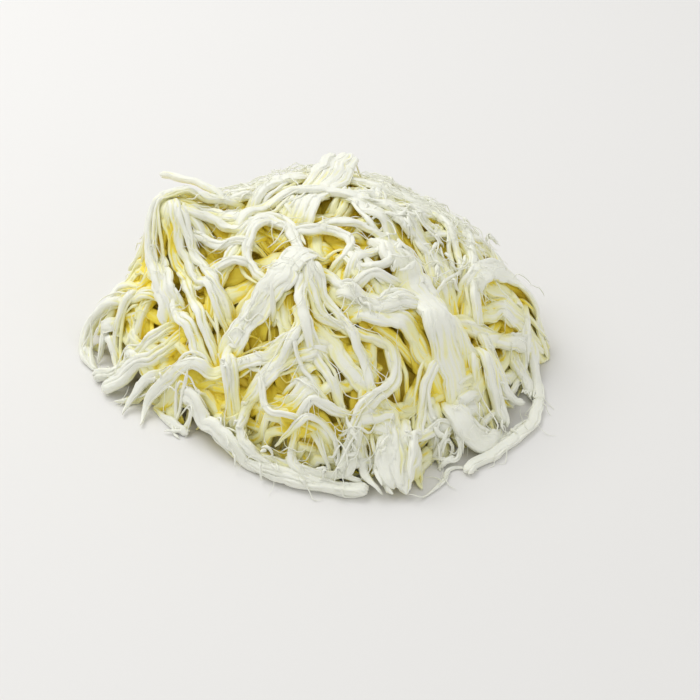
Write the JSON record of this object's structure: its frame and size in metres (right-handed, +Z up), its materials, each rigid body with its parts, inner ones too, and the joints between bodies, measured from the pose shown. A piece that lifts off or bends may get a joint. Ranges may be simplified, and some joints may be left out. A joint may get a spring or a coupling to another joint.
{
  "type": "pulled string cheese",
  "caption": "Loose heap of pulled string cheese: soft cream-white strands, straps and torn cords of stretched curd lying over each other in a low mound.",
  "frame": {"origin": "on the surface the heap rests on, under the middle of its box", "axes": "+Z up, +X to the heap's right, +Y to its back"},
  "size_m": [0.1839, 0.1835, 0.0605],
  "materials": {
    "cheese": "moist satin, fibrous"
  },
  "bodies": {
    "root": {"cheese_heap": "cheese"}
  },
  "joints": []
}
